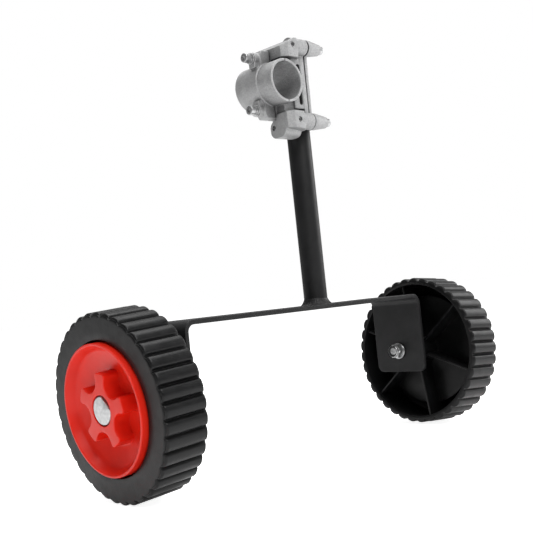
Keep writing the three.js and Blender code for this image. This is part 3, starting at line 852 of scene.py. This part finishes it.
def corner_block(outline, reach=SLEEVE_HALF + 1):
    """Block with its corners cut off in plan; in front of the post it stops at reach on the far side."""
    back = SADDLE_FACE - 8
    plan = [
        (PARTING, -SLEEVE_HALF + 5.3), (PARTING + 5.3, -SLEEVE_HALF), (18, -SLEEVE_HALF), (back, -BOLT_Y),
        (back, BOLT_Y), (18, SLEEVE_HALF), (PARTING + 5.3, SLEEVE_HALF), (PARTING, SLEEVE_HALF - 5.3),
    ]
    tall = prism(plan, "Z", SLEEVE_Z - FAR, SLEEVE_Z + FAR)
    body = overlap(prism(outline, "Y", -SLEEVE_HALF - 1, SLEEVE_HALF + 1), tall)
    if reach < SLEEVE_HALF:
        body = cut(body, block(-1, FAR_BOSS_X, reach, FAR, SLEEVE_Z - FAR, SLEEVE_Z + FAR))
    return body


def bolt_rods(low, high, r0, r1=None, rows=(-BOLT_Y, BOLT_Y)):
    return [rod("X", low, high, (y, z), r0, r1, 48) for z in BOLT_HEIGHTS for y in rows]


def make_saddle():
    back = SADDLE_FACE - 8
    body = overlap(barrel(), block(PARTING, FAR, -FAR, FAR, SLEEVE_Z - FAR, SLEEVE_Z + FAR))
    body = unite(
        body,
        corner_block([(PARTING, SLEEVE_Z + 22.5), (back, SLEEVE_Z + 22.5), (back, SLEEVE_Z + 41),
                      (14, SLEEVE_Z + 40.4), (PARTING, SLEEVE_Z + 33)]),
        corner_block([(PARTING, SLEEVE_Z - 42), (14, SLEEVE_Z - 43.4), (back, SLEEVE_Z - 44),
                      (back, SLEEVE_Z - 27), (PARTING, SLEEVE_Z - 27)], FOOT_REACH),
        block(14, SADDLE_FACE - 0.5, -16.6, 16.6, SLEEVE_Z - 23.5, SLEEVE_Z + 26),
        block(14.1, SADDLE_FACE - 0.6, -13.9, 13.9, SLEEVE_Z - 40, SLEEVE_Z + 40),
        block(SADDLE_FACE - 5, SADDLE_FACE, -BOLT_Y, BOLT_Y, BOLT_HEIGHTS[1], BOLT_HEIGHTS[0]),
        block(PARTING, 16, *EAR_SIDES, SLEEVE_Z - 31, SLEEVE_Z - 17),
        block(PARTING, 16, *EAR_SIDES, SLEEVE_Z + 17, SLEEVE_Z + 31),
        prism(rounded_box(-5.4, LOCK_Z - 2, 20.4, 17, 7.5), "X", PARTING, 21),
        *[block(2, 20, -15, 4.8, *sorted((SLEEVE_Z + way * 17, SLEEVE_Z + way * 30)))
          for way in (1, -1)],
        *bolt_rods(12, SADDLE_FACE, BOSS_R, rows=(-BOLT_Y,)),
        *bolt_rods(FAR_BOSS_X, SADDLE_FACE, FAR_BOSS_R, rows=(BOLT_Y,)),
    )
    slot = prism(rounded_box(23.2, SLEEVE_Z - 0.5, 4, 38, 1.8), "Y", -30, -11.6)
    body = cut(
        body, sleeve_bore(), post_groove(), slot, *bolt_rods(8, 40, SCREW_HOLE_R),
        *[rod("Y", -40, -BOLT_Y - 3.2, (PIN_X, z), PIN_HOLE_R, sides=32) for z in BOLT_HEIGHTS],
        *[rod("X", -1, 14, (EAR_Y, z), SCREW_HOLE_R, sides=32) for z in EAR_HEIGHTS],
        rod("X", -1, 30, (0, LOCK_Z), PIN_HOLE_R, sides=32),
    )
    return cast(body)


def make_cap():
    body = overlap(barrel(), block(-FAR, -PARTING, -FAR, FAR, SLEEVE_Z - FAR, SLEEVE_Z + FAR))
    for way in (1, -1):
        ear = [(-PARTING, SLEEVE_Z + way * 17), (-PARTING, SLEEVE_Z + way * 31), (-10, SLEEVE_Z + way * 31),
               (-12, SLEEVE_Z + way * 28), (-12, SLEEVE_Z + way * 17)]
        screw_z = SLEEVE_Z + way * EAR_OFF
        foot = sorted((screw_z, SLEEVE_Z + way * 15))
        body = unite(
            body,
            prism(ear, "Y", *EAR_SIDES),
            rod("X", -18, -8, (EAR_Y, screw_z), 5.6, sides=48),
            block(-17.8, -8, EAR_Y - 4, EAR_Y + 4, *foot),
        )
    holes = [rod("X", -30, 1, (EAR_Y, z), SCREW_HOLE_R, sides=32) for z in EAR_HEIGHTS]
    body = cut(body, sleeve_bore(), *holes)
    return cast(body)


def make_clamp_plate():
    low = BOLT_HEIGHTS[1] - BOSS_R - 1
    high = BOLT_HEIGHTS[0] + BOSS_R + 1

    def face(z):
        return SADDLE_FACE + 0.5 + (z - low) * 0.014

    strap = prism([(face(low), low), (face(low) + 3.6, low), (face(high) + 3.6, high), (face(high), high)],
                  "Y", -BOLT_Y, BOLT_Y)
    body = overlap(strap, block(30, 60, -FAR, FAR, BOLT_HEIGHTS[1], BOLT_HEIGHTS[0]))
    body = unite(
        body,
        rod("Z", SLEEVE_Z - 40, SLEEVE_Z + 40, (POST_X, 0), POST_R + 3.4, sides=96),
        *bolt_rods(30, 36, BOSS_R, rows=(-BOLT_Y,)),
        *bolt_rods(35.9, 51, BOSS_R, BOSS_TIP_R, rows=(-BOLT_Y,)),
        *bolt_rods(30, 36, FAR_BOSS_R, rows=(BOLT_Y,)),
        *bolt_rods(35.9, 51, FAR_BOSS_R, BOSS_TIP_R, rows=(BOLT_Y,)),
    )
    beyond = prism([(face(low), low), (FAR, low), (FAR, high), (face(high), high)], "Y", -FAR, FAR)
    body = cut(overlap(body, beyond), post_groove(), *bolt_rods(20, 60, SCREW_HOLE_R))
    return cast(body)


def make_screw(tip, seat, end, centre, shank=2.5, head=4.3, socket=2.3):
    """Socket-head screw along X with a rounded head edge and a hexagon socket."""
    away = 1 if end > seat else -1
    head_profile = rounded_profile([(seat, 0, 0), (seat, head, 0.2), (end, head, 0.9), (end, 0, 0)], 5)
    body = lathe(head_profile, "X", centre, 48)
    shaft = rod("X", tip, seat + away, centre, shank, sides=32)
    pocket = prism(hexagon(socket, centre), "X", *sorted((end - away * 2.4, end + away)))
    return cut(unite(body, shaft), pocket)


def make_pin(axis, outer, inner, centre):
    """Headless locking screw with a hexagon socket in its outer end."""
    profile = rounded_profile([(outer, 0, 0), (outer, PIN_R, 0.35), (inner, PIN_R, 0.2), (inner, 0, 0)])
    body = lathe(profile, axis, centre, 40)
    return cut(body, prism(hexagon(PIN_SOCKET_R, centre), axis, outer - 1, outer + 2.2))


HEAD = "clamp_head"
finish_piece(make_saddle(), "saddle_casting", HEAD, "cast_alloy", "sleeve_saddle", angle=60)
finish_piece(make_cap(), "cap_casting", HEAD, "cast_alloy", "sleeve_cap", angle=60)
finish_piece(make_clamp_plate(), "clamp_plate_casting", HEAD, "cast_alloy", "post_clamp_plate", angle=60)

for place, z in zip(("upper", "lower"), EAR_HEIGHTS):
    screw = make_screw(SLEEVE_SCREW_TIP, SLEEVE_SCREW_SEAT, SLEEVE_SCREW_END, (EAR_Y, z))
    finish_piece(screw, f"{place}_sleeve_screw_turned", HEAD, "zinc_steel", f"{place}_sleeve_screw")
    flat = make_ring(-19.6, -18.3, 5.3, WASHER_BORE_R, (EAR_Y, z))
    finish_piece(flat, f"{place}_sleeve_washer_pressed", HEAD, "zinc_steel", f"{place}_sleeve_washer")
    spring = make_split_ring(-21.3, -19.9, 4.6, WASHER_BORE_R, (EAR_Y, z))
    finish_piece(spring, f"{place}_spring_washer_split", HEAD, "zinc_steel", f"{place}_spring_washer")

for place, z in zip(("upper", "lower"), BOLT_HEIGHTS):
    for depth, y, tip in (("near", -BOLT_Y, 10), ("far", BOLT_Y, FAR_BOSS_X + 0.5)):
        screw = make_screw(tip, CLAMP_SCREW_SEAT, CLAMP_SCREW_END, (y, z), head=4, socket=2.1)
        node = f"{place}_{depth}_clamp_screw"
        finish_piece(screw, f"{node}_turned", HEAD, "zinc_steel", node)
    pin = make_pin("Y", -SLEEVE_HALF + 0.6, -BOLT_Y - 3.4, (PIN_X, z))
    finish_piece(pin, f"{place}_locking_screw_turned", HEAD, "zinc_steel", f"{place}_locking_screw")
pin = make_pin("X", 1.6, 19.6, (0, LOCK_Z))
finish_piece(pin, "post_locking_screw_turned", HEAD, "zinc_steel", "post_locking_screw")

# ---- floor, light and camera ----
FLOOR_SIZE = 80.0
corner = FLOOR_SIZE / 2
floor_points = [(-corner, -corner, 0), (corner, -corner, 0), (corner, corner, 0), (-corner, corner, 0)]
floor = make("floor", floor_points, [[0, 1, 2, 3]])
floor.data.materials.append(floor_pale())


def area_light(name, spot, target, size, power):
    data = bpy.data.lights.new(name, "AREA")
    data.shape = "SQUARE"
    data.size = size
    data.energy = power
    light = bpy.data.objects.new(name, data)
    bpy.context.scene.collection.objects.link(light)
    light.location = spot
    light.rotation_euler = (Vector(target) - Vector(spot)).to_track_quat("-Z", "Y").to_euler()


area_light("key_light", (-0.5, -1.6, 2.2), (0, 0, 0.2), 1.6, 50)
area_light("top_light", (0.3, 0.3, 2.4), (0, 0, 0.1), 2.2, 46)
area_light("side_light", (1.9, -0.6, 0.9), (0, 0, 0.2), 1.2, 16)

world = bpy.data.worlds.new("studio")
bpy.context.scene.world = world
world.use_nodes = True
nodes, links = world.node_tree.nodes, world.node_tree.links
background = nodes["Background"]
coords = nodes.new("ShaderNodeTexCoord")
split = nodes.new("ShaderNodeSeparateXYZ")
links.new(coords.outputs["Generated"], split.inputs[0])
fade = nodes.new("ShaderNodeMapRange")
links.new(split.outputs["X"], fade.inputs["Value"])
for socket, number in zip(fade.inputs[1:5], (FADE_FROM, FADE_TO, WORLD_DIM, WORLD_BRIGHT)):
    socket.default_value = number
seen = nodes.new("ShaderNodeLightPath")
glow = nodes.new("ShaderNodeMix")
glow.data_type = "FLOAT"
links.new(seen.outputs["Is Camera Ray"], glow.inputs["Factor"])
links.new(fade.outputs["Result"], glow.inputs[2])
glow.inputs[3].default_value = WORLD_SEEN
links.new(glow.outputs[0], background.inputs["Strength"])
background.inputs["Color"].default_value = (1, 1, 1, 1)
bpy.context.scene.view_settings.view_transform = "Standard"

# Camera: place in millimetres, angles in radians, shifts as shares of the picture's width.
CAMERA_SPOT = (-590.68, -606.57, 65.73)
YAW, PITCH, ROLL = 0.752, -0.0208, -0.105
SENSOR_MM = 36
LENS_MM = 62.33
SHIFT_X, SHIFT_Y = -0.0086, 0.0268
forward = Vector((math.sin(YAW) * math.cos(PITCH), math.cos(YAW) * math.cos(PITCH), -math.sin(PITCH)))
level = Vector((math.cos(YAW), -math.sin(YAW), 0))
above = level.cross(forward)
right = level * math.cos(ROLL) + above * math.sin(ROLL)
up = above * math.cos(ROLL) - level * math.sin(ROLL)
camera_data = bpy.data.cameras.new("camera")
camera_data.sensor_width = SENSOR_MM
camera_data.lens = LENS_MM
camera_data.shift_x = SHIFT_X
camera_data.shift_y = SHIFT_Y
camera = bpy.data.objects.new("camera", camera_data)
bpy.context.scene.collection.objects.link(camera)
turn = Matrix((right, up, -forward)).transposed().to_4x4()
camera.matrix_world = Matrix.Translation(MODEL @ Vector(CAMERA_SPOT)) @ turn
bpy.context.scene.camera = camera
